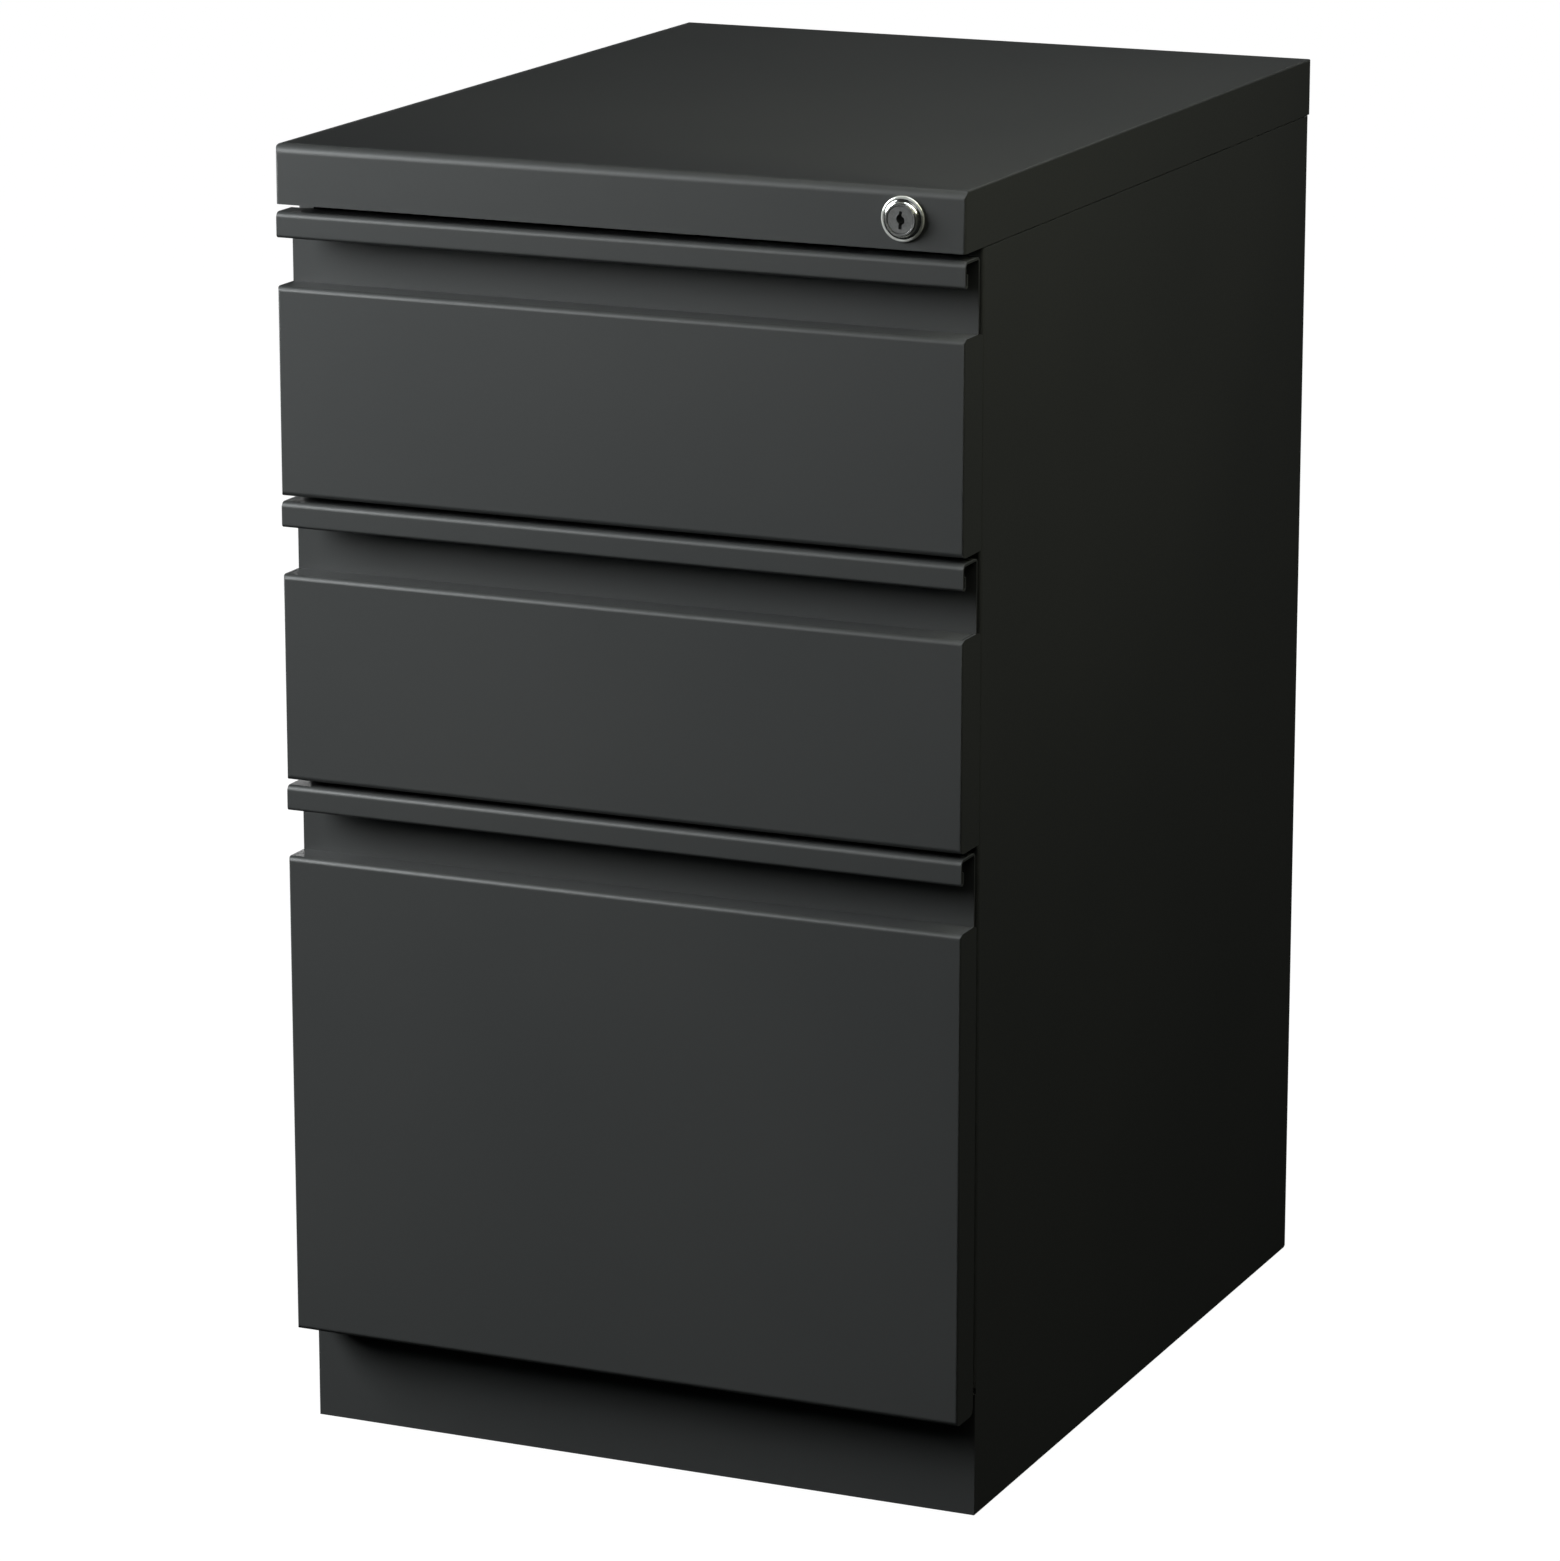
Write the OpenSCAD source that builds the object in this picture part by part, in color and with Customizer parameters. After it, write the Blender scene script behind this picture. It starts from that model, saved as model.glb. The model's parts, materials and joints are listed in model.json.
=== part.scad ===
// Three-drawer steel pedestal file on four concealed casters: two box drawers over one file drawer.
// Millimetres. +Z up, drawers open towards -Y, +X to the right of someone facing the fronts.
// The origin is the bottom centre of the whole object's box, on the floor.

/* [Case] */
// Width across the side panels
case_w = 381; // [360:1:420]
// Depth from the case's front edge to its back face
case_d = 482; // [470:1:560]
// How far the fronts and the fascia stand ahead of the case
front_t = 24; // [23:0.5:30]
// Thickness of the case and drawer body sheet
sheet = 1; // [0.8:0.1:1.2]
// Height of the case's lower edge above the floor
floor_gap = 11; // [10:0.5:14]
// Height from the case's lower edge to the file drawer's front
kick_h = 56; // [54:1:66]
// Width of the flange down each side of the front opening
flange_w = 9; // [8:0.5:9]

/* [Top] */
// Height of the top's fascia and side skirts
cap_h = 31; // [30:0.5:40]
// How far the top stands behind the back panel
cap_overhang = 2; // [0:0.5:6]
// Radius of the top's front edge
cap_edge_r = 5; // [3:0.5:8]

/* [Drawers] */
// Height of a box drawer's front
box_front_h = 148.5; // [145:0.5:160]
// Height of the file drawer's front
file_front_h = 300; // [296:1:310]
// Gap between one front and the next
front_gap = 3; // [2:0.5:4]
// Gap between the top front and the fascia
cap_gap = 4; // [3:0.5:5]
// Thickness of the front sheet
front_sheet = 1.2; // [1:0.1:1.5]
// Depth of the pull recess
recess_d = 17.5; // [15:0.5:17.5]
// Height of the pull's lip
lip_h = 13.5; // [12:0.5:16]
// Open height between the lip and the ledge below it
finger_h = 25; // [22:0.5:30]
// Height of a box drawer's sides
box_side_h = 108; // [104:1:110]
// Height of the file drawer's sides
file_side_h = 252; // [245:1:258]

/* [Slides] */
// Length of every slide rail
rail_len = 450; // [440:1:460]
// Thickness of a slide across the gap beside a drawer
slide_t = 12.7; // [12.7:0.1:13]

/* [Lock] */
// Distance of the lock's axis from the right side
lock_inset = 33; // [30:1:45]
// How far the lock stands ahead of the fascia
lock_proud = 4.5; // [3.5:0.5:6]
// Radius of the lock's round collar
lock_collar_r = 11.5; // [11:0.5:12.5]
// Radius of the cam's drive pin from the lock's axis
crank_r = 8; // [7:0.5:8]

/* [Casters] */
// Radius of a caster wheel
wheel_r = 20; // [18:0.5:20]
// Distance of a wheel's axle behind its swivel axis
trail = 14; // [12:0.5:14]
// Distance of a swivel axis from the case's side
caster_inset_x = 42.5; // [42:0.5:60]
// Distance of a swivel axis from the case's front edge, and from the back
caster_inset_y = 42; // [42:0.5:60]

/* [Hidden] */
$fn = 48;

charcoal = [0.22, 0.23, 0.24];
zinc = [0.62, 0.63, 0.64];
chrome = [0.75, 0.75, 0.74];
black = [0.05, 0.05, 0.05];
iron = [0.3, 0.3, 0.31];

half_w = case_w / 2;
// Front to back: the lock's face and the top's rear edge are the object's front and back.
y_face = -(front_t + case_d + cap_overhang - lock_proud) / 2;
y_case = y_face + front_t;
y_back = y_case + case_d;
y_cap_back = y_back + cap_overhang;

// Bottom to top
z_file = floor_gap + kick_h;
z_middle = z_file + file_front_h + front_gap;
z_top = z_middle + box_front_h + front_gap;
z_cap = z_top + box_front_h + cap_gap;
z_all = z_cap + cap_h;
z_kick_top = z_file + 13;
z_pan = 53;
pan_t = 1.2;

// Drawers: 0 top, 1 middle, 2 file
TOP = 0;
MIDDLE = 1;
FILE = 2;
front_z = [z_top, z_middle, z_file];
front_h = [box_front_h, box_front_h, file_front_h];
body_z = [z_top + 9, z_middle + 9, z_file + 17];
side_h = [box_side_h, box_side_h, file_side_h];
slide_z = [body_z[0] + 45, body_z[1] + 45, body_z[2] + 110];
catch_z = [body_z[0] + 82, body_z[1] + 82, body_z[2] + 216];
catch_h = 8;
hook_h = 6;
hook_lift = 2;

// Across a slide: the case rail's back stands against the uprights
upright_t = 1.2;
upright_x = half_w - flange_w - upright_t / 2;
x_slide = upright_x - upright_t / 2 - 0.1;
x_body = x_slide - slide_t - 0.1;
y_rail = y_case + 4;
y_rear = y_case + 452;
// The file drawer stops a little further from the case than the box drawers do.
return_d = [front_t - 0.5, front_t - 0.5, front_t - 2.8];
panel_y = y_face + recess_d;
panel_back = panel_y + front_sheet;

// Lock
x_lock = half_w - lock_inset;
z_lock = z_cap + cap_h / 2;
plug_r = 7;
barrel_r = 9.5;
barrel_back = y_face + 26;
crank_x = x_lock + crank_r * cos(45);
crank_z = z_lock + crank_r * sin(45);
crank_pin_r = 1.5;
bar_y = y_case + 6;

// Casters
caster_x = half_w - caster_inset_x;
caster_y = [y_case + caster_inset_y, y_back - caster_inset_y];
pin_r = 4;
axle_r = 3;

// ---- Bent sheet ----

function unit(v) = v / norm(v);
function left_of(v) = [-v[1], v[0]];
function cross2(a, b) = a[0] * b[1] - a[1] * b[0];

// Points along one side of a sheet that follows `path`; side is +1 for left, -1 for right. r is the centre radius of
// every bend, or a list with one for each point of the path.
function sheet_side(path, t, r, side, steps = 6) = [
  for (i = [0:len(path) - 1])
    let (
      a = i > 0 ? unit(path[i] - path[i - 1]) : unit(path[1] - path[0]),
      b = i < len(path) - 1 ? unit(path[i + 1] - path[i]) : a,
      turn = atan2(cross2(a, b), a * b),
      s = sign(turn),
      bend = is_list(r) ? r[i] : r,
      back = bend * tan(abs(turn) / 2),
      start = path[i] - a * back,
      centre = start + left_of(a) * bend * s,
      reach = bend - side * s * t / 2
    )
    each abs(turn) < 0.01
      ? [path[i] + left_of(a) * side * t / 2]
      : [for (k = [0:steps])
          let (q = turn * k / steps, out = -left_of(a) * s)
          centre + reach * [out[0] * cos(q) - out[1] * sin(q), out[0] * sin(q) + out[1] * cos(q)]]
];
function reversed(list) = [for (i = [len(list) - 1:-1:0]) list[i]];
function sheet_section(path, t, r) =
  concat(sheet_side(path, t, r, 1), reversed(sheet_side(path, t, r, -1)));

// A closed outline with each corner rounded to its own radius; each corner is [x, y, r].
function rounded(corners, steps = 6) = [
  for (i = [0:len(corners) - 1])
    let (
      n = len(corners),
      p = [corners[i][0], corners[i][1]],
      prev = corners[(i + n - 1) % n],
      next = corners[(i + 1) % n],
      a = unit(p - [prev[0], prev[1]]),
      b = unit([next[0], next[1]] - p),
      turn = atan2(cross2(a, b), a * b),
      s = sign(turn),
      r = corners[i][2],
      start = p - a * r * tan(abs(turn) / 2),
      centre = start + left_of(a) * r * s
    )
    each r <= 0
      ? [p]
      : [for (k = [0:steps])
          let (q = turn * k / steps, out = -left_of(a) * s)
          centre + r * [out[0] * cos(q) - out[1] * sin(q), out[0] * sin(q) + out[1] * cos(q)]]
];

// Extrusions of a section drawn in (y, z), in (x, z) and in (x, y)
module along_x(x0, x1) {
  translate([x0, 0, 0]) rotate([90, 0, 90]) linear_extrude(x1 - x0) children();
}
module along_y(y0, y1) {
  translate([0, y1, 0]) rotate([90, 0, 0]) linear_extrude(y1 - y0) children();
}
module along_z(z0, z1) {
  translate([0, 0, z0]) linear_extrude(z1 - z0) children();
}
module block(low, high) {
  translate(low) cube(high - low);
}
// A cylinder from one y to another
module rod_y(x, z, r, y0, y1) {
  translate([x, y1, z]) rotate([90, 0, 0]) cylinder(r = r, h = y1 - y0);
}
module rod_x(y, z, r, x0, x1) {
  translate([x0, y, z]) rotate([0, 90, 0]) cylinder(r = r, h = x1 - x0);
}
module rod_z(x, y, r, z0, z1) {
  translate([x, y, z0]) cylinder(r = r, h = z1 - z0);
}
module both_sides() {
  children();
  mirror([1, 0, 0]) children();
}

// ---- Case ----

// The outside of the top, or its inside when drawn smaller by `in` all round
module cap_form(in, z_low) {
  x = half_w - in;
  y0 = y_face + in;
  y1 = y_cap_back - in;
  z1 = z_all - in;
  intersection() {
    along_x(-x, x) polygon(rounded([
      [y0, z_low, 0], [y1, z_low, in > 0 ? 0 : 2], [y1, z1, 1.5], [y0, z1, cap_edge_r - in]]));
    along_z(z_low, z1) polygon(rounded([
      [-x, y0, 2.5 - in / 2], [x, y0, 2.5 - in / 2], [x, y1, 1.2], [-x, y1, 1.2]]));
    along_y(y0, y1) polygon(rounded([[-x, z_low, 0], [x, z_low, 0], [x, z1, 1.2], [-x, z1, 1.2]]));
  }
}

module top_cap() {
  color(charcoal) difference() {
    union() {
      difference() {
        cap_form(0, z_cap);
        cap_form(front_sheet, z_cap - 1);
      }
      block([-half_w + 1, y_face + 0.5, z_cap], [half_w - 1, y_case + 1, z_cap + front_sheet]);
    }
    rod_y(x_lock, z_lock, barrel_r + 0.1, y_face - 1, y_face + 5);
  }
}

module side_panel() {
  x = half_w - sheet / 2;
  y0 = y_case + sheet / 2;
  y1 = y_back - sheet - 0.1 - sheet / 2;
  color(charcoal) {
    along_z(z_kick_top + 0.2, z_cap - 0.5) polygon(sheet_section(
      [[half_w - flange_w, y0], [x, y0], [x, y1], [half_w - 14, y1]], sheet, 1.5));
    along_z(floor_gap, z_kick_top + 3) polygon(sheet_section(
      [[x, y_case + sheet + 0.1], [x, y1], [half_w - 14, y1]], sheet, 1.5));
    // the tongue that the top fits over
    along_y(y_case + 12, y1 - 12) polygon(sheet_section(
      [[x, z_cap - 14], [x, z_cap - 6], [x - 1.4, z_cap - 1], [x - 1.4, z_cap + 18]], sheet, 2));
  }
}
module left_side_panel() { mirror([1, 0, 0]) side_panel(); }
module right_side_panel() { side_panel(); }

screw_spots = [for (x = [-1, 1], z = [z_pan + 40, (z_pan + z_cap) / 2, z_cap - 40]) [x * (half_w - 9), z]];

module back_panel() {
  color(charcoal) difference() {
    block([-half_w + 0.6, y_back - sheet, floor_gap], [half_w - 0.6, y_back, z_cap - 0.5]);
    for (p = screw_spots) rod_y(p[0], p[1], 1.8, y_back - 3, y_back + 1);
  }
}

module back_screws() {
  color(zinc) for (p = screw_spots) {
    rod_y(p[0], p[1], 3.2, y_back, y_back + 1.5);
    rod_y(p[0], p[1], 1.7, y_back - sheet, y_back + 0.5);
  }
}

module base_pan() {
  w = half_w - sheet - 0.1;
  color(charcoal) difference() {
    along_y(y_case + 1.4, y_back - 3.2) polygon(sheet_section(
      [[-w + pan_t / 2, z_pan + 14], [-w + pan_t / 2, z_pan + pan_t / 2],
       [w - pan_t / 2, z_pan + pan_t / 2], [w - pan_t / 2, z_pan + 14]], pan_t, 1.8));
    at_casters() at_bolts() rod_z(0, 0, 2.6, z_pan - 1, z_pan + 5);
  }
}

module toe_kick() {
  y = y_case + sheet / 2;
  z = z_kick_top - sheet / 2;
  flange = x_slide - 1;
  color(charcoal) {
    block([-half_w, y_case, floor_gap], [half_w, y_case + sheet, z_kick_top - 3]);
    along_x(-flange, flange) polygon(sheet_section([[y, z - 8], [y, z], [y + 13, z]], sheet, 1.5));
  }
}

// A channel across the front opening between two drawers
module cross_rail(z) {
  y = y_case + sheet + 0.6;
  along_x(-x_slide, x_slide) polygon(sheet_section(
    [[y + 12, z + 6], [y, z + 6], [y, z - 6], [y + 12, z - 6]], sheet, 1.5));
}
module cross_rails() {
  color(charcoal) {
    cross_rail(z_middle - front_gap / 2);
    cross_rail(z_top - front_gap / 2);
  }
}

upright_y = [y_case + 2.7, y_case + 400];
upright_d = 26;
module upright(y) {
  x1 = half_w - sheet - 0.1;
  along_z(z_pan + pan_t + 15, z_cap - 16) polygon(sheet_section(
    [[x1, y], [upright_x, y], [upright_x, y + upright_d], [x1, y + upright_d]], upright_t, 1.8));
}
module left_uprights() {
  color(zinc) mirror([1, 0, 0]) for (y = upright_y) upright(y);
}
module right_uprights() {
  color(zinc) difference() {
    for (y = upright_y) upright(y);
    for (d = [TOP, MIDDLE, FILE])
      block([upright_x - 2, bar_y - 2, hook_z(d) - crank_drop() - 1.5],
            [upright_x + 2, bar_y + 5, hook_z(d) + hook_h + 1.5]);
  }
}

module drawer_bumpers() {
  color(black) both_sides() for (d = [TOP, MIDDLE, FILE], z = [0.18, 0.6])
    rod_y(half_w - 4.6, front_z[d] + front_h[d] * z, 3, panel_back + 0.3, y_case);
}

module counterweight() {
  color(iron) block([-115, y_back - 80, z_pan + pan_t], [115, y_back - 6, z_pan + pan_t + 26]);
}

// ---- Slides ----

// Sections of the rails and ball cages in (s, h): s runs from the uprights towards the drawer, h is up from the
// slide's centre line. `half` is the outer rail's half height.
function channel(back, tip, half, t) = sheet_section(
  [[tip, half - t / 2], [back, half - t / 2], [back, -half + t / 2], [tip, -half + t / 2]], t, 1);

module on_right(d) {
  translate([x_slide, 0, slide_z[d]]) mirror([1, 0, 0]) children();
}
module rail(d, y0, section) {
  color(zinc) both_sides() on_right(d) along_y(y0, y0 + rail_len) polygon(section);
}
rail_t = 1.2;
box_half = 17.5;
file_half = 22.8;
box_race = 13.7;
file_outer_race = 19.1;
file_inner_race = 12.9;

module case_slide_rails() {
  for (d = [TOP, MIDDLE]) rail(d, y_rail, channel(rail_t / 2, 9, box_half, rail_t));
  rail(FILE, y_rail, channel(rail_t / 2, 10, file_half, rail_t));
}
module drawer_slide_rails(d) {
  half = d == FILE ? 10.4 : 11;
  rail(d, y_rail, channel(slide_t - rail_t / 2, d == FILE ? 5 : 4.5, half, rail_t));
}
module file_middle_rails() {
  rail(FILE, y_rail, channel(3, 11, 16.6, rail_t));
}

// A cage is a thin channel whose two lips hold a row of balls each.
module ball_cages(d, back, tip, race, ball_r, ball_s, y0, y1) {
  t = 0.6;
  count = 6;
  pitch = (y1 - y0 - 16) / (count - 1);
  balls = [for (i = [0:count - 1]) y0 + 8 + i * pitch];
  color(zinc) both_sides() on_right(d) {
    difference() {
      along_y(y0, y1) polygon(channel(back, tip, race + t / 2, t));
      for (y = balls) rod_z(ball_s, y, ball_r + 0.1, -race - 2, race + 2);
    }
    for (y = balls, h = [-1, 1]) translate([ball_s, y, h * race]) sphere(r = ball_r, $fn = 24);
  }
}
module box_ball_cages(d) { ball_cages(d, 2.3, 9.6, box_race, 2.35, 6.2, y_rail + 170, y_rail + 280); }
module file_outer_ball_cages() {
  ball_cages(FILE, 1.8, 9.8, file_outer_race, 2.2, 6, y_rail + 115, y_rail + 335);
}
module file_inner_ball_cages() {
  ball_cages(FILE, 4.2, 11, file_inner_race, 2.2, 7.8, y_rail + 115, y_rail + 335);
}

// ---- Drawers ----

function ledge_z(d) = front_z[d] + front_h[d] - lip_h - finger_h;

// The outer shell of a front: face, ledge, bottom return and side returns
module drawer_face(d) {
  t = front_sheet;
  z0 = front_z[d];
  z1 = ledge_z(d);
  edge_r = 3;
  color(charcoal) intersection() {
    union() {
      along_x(-half_w, half_w) polygon(sheet_section(
        [[panel_y - 0.2, z0 + t / 2], [y_face + t / 2, z0 + t / 2],
         [y_face + t / 2, z1 - t / 2], [panel_y - 0.2, z1 - t / 2]], t, edge_r - t / 2));
      both_sides() along_x(half_w - t, half_w) polygon(rounded([
        [y_face, z0, edge_r], [y_face + return_d[d], z0, 4], [y_face + return_d[d], z1 - 1, 1.5],
        [panel_y - 0.2, z1, 0], [y_face, z1, edge_r]]));
    }
    along_z(z0 - 1, z1 + 1) polygon(rounded([
      [-half_w, y_face, 1.8], [half_w, y_face, 1.8],
      [half_w, y_face + front_t, 0], [-half_w, y_face + front_t, 0]]));
  }
}

// The panel behind the face, whose top folds forward and down as the full-width pull
module drawer_pull_panel(d) {
  t = front_sheet;
  z0 = front_z[d];
  z1 = z0 + front_h[d];
  y = panel_y + t / 2;
  narrow = half_w - t - 0.3;
  color(charcoal) {
    along_x(-narrow, narrow) polygon(sheet_section([[y, z0 + t + 0.3], [y, ledge_z(d)]], t, 1));
    along_x(-half_w, half_w) polygon(sheet_section(
      [[y, ledge_z(d) + 0.2], [y, z1 - t / 2], [y_face + t / 2, z1 - t / 2],
       [y_face + t / 2, z1 - lip_h + t / 2], [y_face + t * 1.5 + 1.2, z1 - lip_h + t / 2],
       [y_face + t * 1.5 + 1.2, z1 - lip_h + 7]], t, [0, 1.5, 2.4, 1.2, 1.2, 0]));
    block([-narrow, panel_y, ledge_z(d) - 1], [narrow, panel_y + t, ledge_z(d) + 1]);
  }
}

// Two upright sides, each with its top edge rolled inwards
module drawer_sides(d) {
  x = x_body - sheet / 2;
  z1 = body_z[d] + side_h[d];
  color(charcoal) both_sides() along_y(panel_back + 0.1, y_rear) polygon(sheet_section(
    [[x, body_z[d]], [x, z1 - sheet / 2], [x - 5.5, z1 - sheet / 2], [x - 5.5, z1 - 5]], sheet, 1));
}

module drawer_bottom(d) {
  x = x_body - sheet - 0.1;
  color(charcoal) block([-x, panel_back + 0.1, body_z[d]], [x, y_rear - sheet - 0.1, body_z[d] + sheet]);
}

module drawer_back(d) {
  x = x_body - sheet - 0.1;
  z1 = body_z[d] + side_h[d] - 8;
  y = y_rear - sheet / 2;
  color(charcoal) along_x(-x, x) polygon(sheet_section(
    [[y, body_z[d]], [y, z1], [y - 6, z1]], sheet, 1));
}

// The bracket on a drawer's right side that the lock bar's hook stands in front of
module drawer_catch(d) {
  x = x_body + 0.75;
  y = y_case + 12;
  color(zinc) along_z(catch_z[d], catch_z[d] + catch_h) polygon(sheet_section(
    [[x, y + 16], [x, y], [x + 8.5, y]], 1.5, 1.5));
}

// Two bars that hanging folders hook over, front to back
module file_hanging_rails() {
  x = x_body - 11;
  z = body_z[FILE] + file_side_h - 6;
  y_end = y_rear - 8;
  color(zinc) both_sides() {
    block([x - 1.5, panel_back + 0.1, z - 14], [x + 1.5, y_end, z]);
    for (y = [panel_back + 0.1, y_end - 3])
      block([x + 1.5, y, z - 14], [x_body - sheet - 0.1, y + 3, z - 2]);
  }
}

// ---- Lock ----

function hook_z(d) = catch_z[d] + catch_h + hook_lift;
// How far a quarter turn of the plug lowers the bar
function crank_drop() = 2 * crank_r * sin(45);

module lock_housing() {
  color(chrome) difference() {
    union() {
      translate([x_lock, y_face, z_lock]) rotate([90, 0, 0]) rotate_extrude($fn = 64) polygon([
        [0, 0], [lock_collar_r, 0], [lock_collar_r, 0.9], [lock_collar_r - 0.5, 1.5],
        [plug_r + 1.6, lock_proud - 0.4], [plug_r + 1.1, lock_proud], [0, lock_proud]]);
      rod_y(x_lock, z_lock, barrel_r, y_face - 0.5, barrel_back);
    }
    rod_y(x_lock, z_lock, plug_r + 0.05, y_face - lock_proud - 1, barrel_back + 1);
  }
}

module lock_nut() {
  y0 = y_face + front_sheet + 0.1;
  color(zinc) difference() {
    translate([x_lock, y0 + 3, z_lock]) rotate([90, 0, 0]) cylinder(r = 12.8, h = 3, $fn = 6);
    rod_y(x_lock, z_lock, barrel_r + 0.02, y0 - 1, y0 + 5);
  }
}

module lock_plug() {
  front = y_face - lock_proud + 0.3;
  color(chrome) difference() {
    union() {
      rod_y(x_lock, z_lock, plug_r, front, barrel_back + 0.4);
      block([x_lock - 2.5, barrel_back, z_lock - 2.5], [x_lock + 2.5, barrel_back + 2.6, z_lock + 2.5]);
    }
    block([x_lock - 0.9, front - 1, z_lock - 4.6], [x_lock + 0.9, front + 20, z_lock + 3]);
    rod_y(x_lock, z_lock, 2, front - 1, front + 20);
    rod_y(x_lock, z_lock, 1.2, barrel_back - 6, barrel_back + 4);
  }
}

// The crank on the plug's tail, with its drive pin
module lock_cam() {
  y0 = barrel_back + 0.6;
  color(zinc) difference() {
    union() {
      rod_y(x_lock, z_lock, 6, y0, y0 + 2);
      rod_y(crank_x, crank_z, 3.5, y0, y0 + 2);
      translate([x_lock, y0, z_lock]) rotate([0, -45, 0]) translate([0, 0, -3.5]) cube([crank_r, 2, 7]);
      rod_y(crank_x, crank_z, crank_pin_r, y0, y0 + 6.5);
    }
    block([x_lock - 2.55, y0 - 1, z_lock - 2.55], [x_lock + 2.55, y0 + 3, z_lock + 2.55]);
  }
}

module cam_screw() {
  color(zinc) {
    rod_y(x_lock, z_lock, 3.6, barrel_back + 2.65, barrel_back + 3.6);
    rod_y(x_lock, z_lock, 1.15, barrel_back - 5, barrel_back + 3);
  }
}

// The flat bar inside the right front upright: an arm reaches the crank pin, and a hook meets each drawer's catch.
module lock_bar() {
  x0 = half_w - 7;
  x1 = x0 + 3;
  arm_t = 1.5;
  color(zinc) difference() {
    union() {
      block([x0, bar_y, guide_z[0] - 20], [x1, bar_y + 13, crank_z + 5]);
      block([crank_x - 3.6, bar_y, crank_z - 5], [x1, bar_y + arm_t, crank_z + 5]);
      for (d = [TOP, MIDDLE, FILE])
        block([x_body + 3.5, bar_y, hook_z(d)], [x0 + 1, bar_y + 3, hook_z(d) + hook_h]);
    }
    block([crank_x - crank_pin_r - 0.5, bar_y - 1, crank_z - crank_pin_r - 0.5],
          [crank_x + crank_pin_r + 2.9, bar_y + arm_t + 1, crank_z + crank_pin_r + 0.5]);
  }
}

guide_z = [z_file + 200, z_middle + 30, z_top + 20];
module lock_bar_guides() {
  x0 = upright_x + upright_t / 2 + 0.1;
  x1 = half_w - sheet - 0.2;
  y0 = upright_y[0] + upright_t / 2 + 0.1;
  y1 = upright_y[0] + upright_d - upright_t / 2 - 0.1;
  color(black) for (z = guide_z) difference() {
    block([x0, y0 + 1, z], [x1, y1 - 1, z + 10]);
    block([half_w - 7.4, bar_y - 0.4, z - 1], [half_w - 3.6, bar_y + 13.4, z + 11]);
  }
}

// ---- Casters ----

// Children are drawn about a swivel axis standing at x = 0, y = 0.
module at_casters() {
  for (x = [-1, 1], y = caster_y) translate([x * caster_x, y, 0]) children();
}
module at_bolts() {
  for (x = [-1, 1], y = [-1, 1]) translate([x * 20, y * 20, 0]) children();
}

module caster_plates() {
  color(zinc) at_casters() {
    difference() {
      translate([-26, -26, z_pan - 2.5]) cube([52, 52, 2.5]);
      at_bolts() rod_z(0, 0, 2.6, z_pan - 4, z_pan + 1);
    }
    rod_z(0, 0, 15, z_pan - 6.5, z_pan - 2.4);
    rod_z(0, 0, pin_r, z_pan - 12.5, z_pan - 6);
    rod_z(0, 0, 6, z_pan - 13.2, z_pan - 11.6);
  }
}

module caster_bolts() {
  color(zinc) at_casters() at_bolts() {
    rod_z(0, 0, 2.5, z_pan - 4, z_pan + pan_t + 0.5);
    translate([0, 0, z_pan + pan_t]) cylinder(r = 4.6, h = 3, $fn = 6);
    translate([0, 0, z_pan - 6]) cylinder(r = 4.6, h = 3.4, $fn = 6);
  }
}

module caster_fork(side, end) {
  bridge = z_pan - 11;
  leg_x = 11.6;
  leg_t = 2;
  color(zinc) translate([side * caster_x, caster_y[end], 0]) {
    difference() {
      union() {
        rod_z(0, 0, 14.6, bridge, bridge + 2);
        rod_z(0, 0, 12, bridge + 1, bridge + 4.2);
        block([-leg_x - leg_t, -8, bridge], [leg_x + leg_t, 20, bridge + 2]);
        both_sides() {
          along_x(leg_x, leg_x + leg_t) polygon([
            [-8, bridge + 2], [trail - 7.2, wheel_r - 3.5], [trail + 7.6, wheel_r - 2.5], [20, bridge + 2]]);
          rod_x(trail, wheel_r, 8, leg_x, leg_x + leg_t);
        }
      }
      rod_z(0, 0, pin_r + 0.06, bridge - 1, bridge + 6);
      rod_x(trail, wheel_r, axle_r + 0.02, -20, 20);
    }
    rod_x(trail, wheel_r, axle_r, -leg_x - leg_t - 0.1, leg_x + leg_t + 0.1);
    both_sides() rod_x(trail, wheel_r, 5, leg_x + leg_t, leg_x + leg_t + 1.8);
  }
}

module caster_wheel(side, end) {
  tread = 9;
  color(black) translate([side * caster_x, caster_y[end] + trail, wheel_r])
    rotate([0, 90, 0]) rotate_extrude($fn = 72) polygon(concat(
      [[axle_r + 0.05, -11.2], [7, -11.2], [7, -3], [wheel_r - 5, -3], [wheel_r - 5, -tread]],
      [for (k = [0:6]) [wheel_r - 3 + 3 * sin(k * 15), -tread + 3 - 3 * cos(k * 15)]],
      [for (k = [6:-1:0]) [wheel_r - 3 + 3 * sin(k * 15), tread - 3 + 3 * cos(k * 15)]],
      [[wheel_r - 5, tread], [wheel_r - 5, 3], [7, 3], [7, 11.2], [axle_r + 0.05, 11.2]]));
}

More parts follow.
